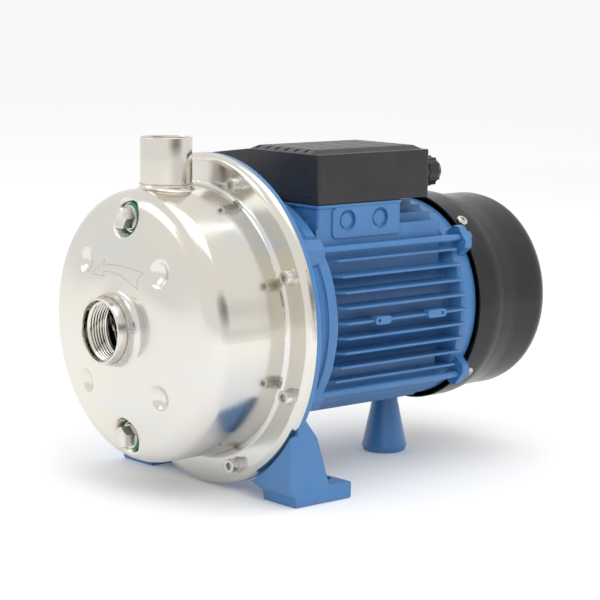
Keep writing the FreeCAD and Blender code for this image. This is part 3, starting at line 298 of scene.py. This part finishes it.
def weld_steel():
    """Weld metal, duller and rougher than the sheet."""
    material, tree, shader, where = new_material("weld_steel", Metallic=1.0)
    cloud = noise(tree, where, 160.0, 4.0)
    colour = blend_colour(tree, clouds(tree, cloud), (0.62, 0.58, 0.52), (0.42, 0.37, 0.33))
    rough = remap(tree, noise(tree, where, 500.0, 3.0), 0.3, 0.7, 0.16, 0.34)
    wire(tree, shader, Base_Color=colour, Roughness=rough,
         Normal=bump(tree, noise(tree, where, 1300.0, 2.0), 0.08 * MM, 0.5))
    return material


BLUE = blue_enamel()
LOOKS = {
    "stainless": polished_steel(),
    "zinc_steel": bright_steel("plated_steel", (0.74, 0.72, 0.68), 0.20, 0.36),
    "machined_steel": bright_steel("machined_steel", (0.58, 0.58, 0.58), 0.22, 0.36),
    "bearing_steel": bright_steel("bearing_steel", (0.72, 0.72, 0.73), 0.08, 0.16, 0.2 * MM),
    "cast_aluminium": bright_steel("cast_aluminium", (0.70, 0.70, 0.71), 0.40, 0.55),
    "brass": bright_steel("brass", (0.76, 0.56, 0.26), 0.18, 0.30, 0.2 * MM),
    "core_steel": laminated_steel(),
    "copper": enamelled_wire(),
    "blue_paint": BLUE,
    "blue_paint_aluminium": BLUE,
    "black_cowl": black_cowl(),
    "black_plastic": moulded_plastic("black_plastic", (0.014, 0.014, 0.016), (0.021, 0.021, 0.023),
                                     0.30, 0.38, 0.01 * MM),
    "grey_plastic": moulded_plastic("phenolic_board", (0.09, 0.06, 0.045), (0.13, 0.09, 0.07), 0.4, 0.5),
    "capacitor_can": moulded_plastic("capacitor_can", (0.62, 0.62, 0.60), (0.70, 0.70, 0.68),
                                     0.25, 0.35, 0.01 * MM),
    "green_rubber": moulded_plastic("green_rubber", (0.015, 0.17, 0.085), (0.022, 0.22, 0.11),
                                    0.38, 0.5, 0.02 * MM),
    "black_rubber": moulded_plastic("black_rubber", (0.014, 0.014, 0.014), (0.024, 0.024, 0.024), 0.5, 0.65),
    "carbon": moulded_plastic("seal_carbon", (0.02, 0.02, 0.021), (0.035, 0.035, 0.037),
                              0.18, 0.28, 0.01 * MM),
    "seal_ceramic": moulded_plastic("seal_ceramic", (0.78, 0.76, 0.70), (0.84, 0.82, 0.77),
                                    0.15, 0.22, 0.005 * MM),
}
ETCHED = etched_line()
WELD = weld_steel()

for part in frame["record"]["subparts"]:
    node_object = NODES[part["node"]]
    node_object.data.materials.clear()
    node_object.data.materials.append(LOOKS[part["material_slot"]])


# ---------------------------------------------------------------- detail pieces
def ring_faces(columns, rows):
    """Quads of a ring of columns, each of which is a closed loop of points."""
    faces = []
    for i in range(columns):
        after = (i + 1) % columns
        for j in range(rows):
            below = (j + 1) % rows
            faces.append((i * rows + j, i * rows + below, after * rows + below, after * rows + j))
    return faces


def tidy_faces(mesh):
    """Faces turned outwards, and hard edges kept crisp."""
    work = bmesh.new()
    work.from_mesh(mesh)
    bmesh.ops.recalc_face_normals(work, faces=work.faces)
    work.to_mesh(mesh)
    work.free()
    mesh.set_sharp_from_angle(angle=math.radians(50))


def ring_piece(name, vertices, columns, material, body="pump"):
    """Detail piece made of a ring of equal closed columns."""
    mesh = bpy.data.meshes.new(name)
    mesh.from_pydata(vertices, [], ring_faces(columns, len(vertices) // columns))
    mesh.update()
    mesh.materials.append(material)
    made = bpy.data.objects.new(name, mesh)
    bpy.context.scene.collection.objects.link(made)
    mesh.shade_smooth()
    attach(made, body)
    tidy_faces(mesh)
    return made


def around(centre, axis, angle, radius, along):
    """Point at an angle and a radius round an axis through a centre."""
    u, v = (side for side in (X, Y, Z) if side != axis)
    point = Vector(centre)
    point[u] += radius * math.cos(angle)
    point[v] += radius * math.sin(angle)
    point[axis] += along
    return point


def socket_shell(length, shape):
    """Outside, rim and counterbore of a socket, from its inner end to the start of its thread."""
    outer, bore, bore_depth = shape["outer"], shape["bore"], shape["bore_depth"]
    return [(0.0, outer), (length * 0.5, outer), (length - RIM_EDGE, outer),
            (length - RIM_EDGE * 0.3, outer - RIM_EDGE * 0.3), (length, outer - RIM_EDGE),
            (length, bore + RIM_EDGE * 0.4), (length - RIM_EDGE * 0.4, bore),
            (length - bore_depth * 0.5, bore), (length - bore_depth, bore)]


def threaded_socket(node, mouth, inner, centre, axis, shape):
    """Pipe socket with a helical thread in it. mouth and inner are places along its axis."""
    columns, steps_per_pitch, run_out = 120, 8, 1.0 * MM
    length, sign = abs(mouth - inner), 1 if mouth > inner else -1
    shell = socket_shell(length, shape)
    thread_top = length - shape["bore_depth"] - run_out
    steps = int(thread_top / THREAD_PITCH * steps_per_pitch)
    vertices = []
    for i in range(columns):
        angle = 2 * math.pi * i / columns
        column = list(shell)
        for k in range(steps, -1, -1):
            along = thread_top * k / steps
            phase = along / THREAD_PITCH + sign * i / columns
            fade = min(1.0, 4.0 * k / steps)
            cut = 0.5 - 0.5 * math.cos(2 * math.pi * phase)
            column.append((along, shape["crest"] + THREAD_DEPTH * cut * fade))
        vertices += [around(centre, axis, angle, radius, inner + sign * along) for along, radius in column]
    made = ring_piece(f"{node}_threaded", vertices, columns, LOOKS["stainless"])
    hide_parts(node)


def bead(name, centre, axis, weld):
    """Weld bead round a pipe, rippled like laid weld metal."""
    ripples = weld["ripples"]
    columns, rows = ripples * 6, 10
    vertices = []
    for i in range(columns):
        angle = 2 * math.pi * i / columns
        size = weld["thickness"] * (1 + 0.10 * math.sin(angle * ripples) + 0.06 * math.sin(angle * 3 + 1))
        for j in range(rows):
            turn = 2 * math.pi * j / rows
            reach = weld["radius"] + size * math.cos(turn)
            rise = size * weld["squeeze"] * math.sin(turn)
            vertices.append(around(centre, axis, angle, reach, rise))
    ring_piece(name, vertices, columns, WELD)


def sockets_and_welds():
    """Threaded sockets in place of the plain ones, and the beads that join them to the casing."""
    discharge = ((DISCHARGE_LOW[X] + DISCHARGE_HIGH[X]) / 2, (DISCHARGE_LOW[Y] + DISCHARGE_HIGH[Y]) / 2)
    threaded_socket("suction_socket", SUCTION_LOW[Y], SUCTION_HIGH[Y], (0.0, 0.0, SHAFT_Z), Y, SUCTION_SHAPE)
    threaded_socket("discharge_socket", DISCHARGE_HIGH[Z], DISCHARGE_LOW[Z], (*discharge, 0.0), Z,
                    DISCHARGE_SHAPE)
    bead("suction_weld", (0.0, CASING_FRONT, SHAFT_Z), Y, SUCTION_WELD)
    bead("discharge_weld", (*discharge, DISCHARGE_LOW[Z]), Z, DISCHARGE_WELD)


def on_casing(x, z):
    """Point of the casing's front at a place seen from the suction side."""
    casing = NODES["pump_casing"]
    hit, place, _, _ = casing.ray_cast(Vector((x, -1.0, z)), Vector((0, 1, 0)))
    return place if hit else Vector((x, CASING_FRONT, z))


def arrow_points():
    """Points close together along the arrow's outline, on the casing."""
    points = []
    for (x, z), (x2, z2) in zip(ARROW, ARROW[1:] + ARROW[:1]):
        steps = max(2, int(math.hypot(x2 - x, z2 - z) / ARROW_STEP))
        for k in range(steps):
            share = k / steps
            points.append(on_casing((x + (x2 - x) * share) * MM, SHAFT_Z + (z + (z2 - z) * share) * MM))
    return points


def arrow_outline():
    """Plain arrow outline etched on the casing, which shows the turning direction."""
    points = arrow_points()
    count, rows = len(points), 6
    vertices = []
    for i, point in enumerate(points):
        along = (points[(i + 1) % count] - points[i - 1]).normalized()
        side = along.cross(Vector((0, 1, 0))).normalized()
        out = side.cross(along)
        for j in range(rows):
            turn = 2 * math.pi * j / rows
            vertices.append(point + side * (ARROW_HALF_WIDTH * math.cos(turn))
                            + out * (ARROW_HEIGHT * math.sin(turn)))
    ring_piece("rotation_arrow", vertices, count, ETCHED)


sockets_and_welds()
arrow_outline()


# ---------------------------------------------------------------- studio
def aimed(made, place, target, axis):
    """Object put at a place, with one of its axes turned towards a target."""
    made.location = place
    made.rotation_euler = (Vector(target) - Vector(place)).to_track_quat(axis, "Y").to_euler()


def stage_material(name, half_x, half_y, grey, glow, soft):
    """Plain grey surface with a little light of its own. A soft one fades out towards its edges."""
    material, tree, shader, where = new_material(name, Roughness=0.9, Emission_Strength=glow)
    shader.inputs["Base Color"].default_value = (grey, grey, grey, 1)
    shader.inputs["Emission Color"].default_value = (grey, grey, grey, 1)
    if soft:
        spot = stretched(tree, where, (1 / half_x, 1 / half_y, 1))
        reach = add(tree, "ShaderNodeVectorMath", {"operation": "LENGTH"}, i0=spot).outputs["Value"]
        wire(tree, shader, Alpha=remap(tree, reach, 0.25, 1.0, 1.0, 0.0))
    return material


def stage_plane(name, size, place, grey, toward=None, glow=0.0, soft=False):
    """Staged plane. A soft one is seen in reflections only."""
    half_x, half_y = size[0] / 2, size[1] / 2
    mesh = bpy.data.meshes.new(name)
    mesh.from_pydata([(-half_x, -half_y, 0), (half_x, -half_y, 0), (half_x, half_y, 0), (-half_x, half_y, 0)],
                     [], [(0, 1, 2, 3)])
    mesh.materials.append(stage_material(name, half_x, half_y, grey, glow, soft))
    made = bpy.data.objects.new(name, mesh)
    bpy.context.scene.collection.objects.link(made)
    made.location = place
    if toward:
        aimed(made, place, toward, "Z")
    made.visible_camera = not soft
    made.visible_shadow = not soft


def area_light(name, place, side, power, glossy=True):
    """Square light aimed at the pump's middle. One that isn't glossy leaves no reflection."""
    data = bpy.data.lights.new(name, "AREA")
    data.shape = "RECTANGLE"
    data.size = data.size_y = side
    data.energy = power
    made = bpy.data.objects.new(name, data)
    aimed(made, place, LIGHT_TARGET, "-Z")
    made.visible_glossy = glossy
    bpy.context.scene.collection.objects.link(made)


def studio():
    """Pale floor, grey cards for the steel to reflect, soft lights and a white surrounding."""
    stage_plane("floor", (300, 300), (0, 0, -0.0002), 0.90, glow=0.08)
    stage_plane("side_floor", (3.0, 4.2), (2.0, 0.8, 0.0005), 0.70, soft=True)
    stage_plane("side_wall", (4.2, 1.7), (2.7, 0.3, 0.9), 0.24, toward=(0, 0.3, 0.9), soft=True)
    stage_plane("back_wall", (1.6, 1.4), (-1.2, 2.6, 0.9), 0.35, toward=(0, 0, 0.2), soft=True)
    area_light("key_left", (-1.4, -1.8, 1.7), 1.4, 6)
    area_light("top", (0.2, 0.3, 2.4), 2.0, 11)
    area_light("fill_right", (1.7, -0.5, 1.6), 1.4, 17, glossy=False)
    world = bpy.data.worlds.new("studio")
    world.use_nodes = True
    background = world.node_tree.nodes["Background"]
    background.inputs["Color"].default_value = (1.0, 1.0, 1.0, 1.0)
    background.inputs["Strength"].default_value = 0.95
    bpy.context.scene.world = world
    bpy.context.scene.view_settings.view_transform = "Standard"


def camera_axes():
    """The camera's right, up and backward directions."""
    back = Vector((math.sin(AZIMUTH) * math.cos(ELEVATION), -math.cos(AZIMUTH) * math.cos(ELEVATION),
                   math.sin(ELEVATION)))
    level = Vector((math.cos(AZIMUTH), math.sin(AZIMUTH), 0))
    above = back.cross(level)
    right = level * math.cos(ROLL) + above * math.sin(ROLL)
    up = above * math.cos(ROLL) - level * math.sin(ROLL)
    return right, up, back


def place_camera():
    """Long lens in front of the suction port and to its right."""
    data = bpy.data.cameras.new("camera")
    data.sensor_width = SENSOR
    data.lens = FOCAL_LENGTH
    data.clip_end = 400
    made = bpy.data.objects.new("camera", data)
    made.matrix_world = Matrix.Translation(CAMERA_PLACE) @ Matrix(camera_axes()).transposed().to_4x4()
    bpy.context.scene.collection.objects.link(made)
    bpy.context.scene.camera = made


studio()
place_camera()
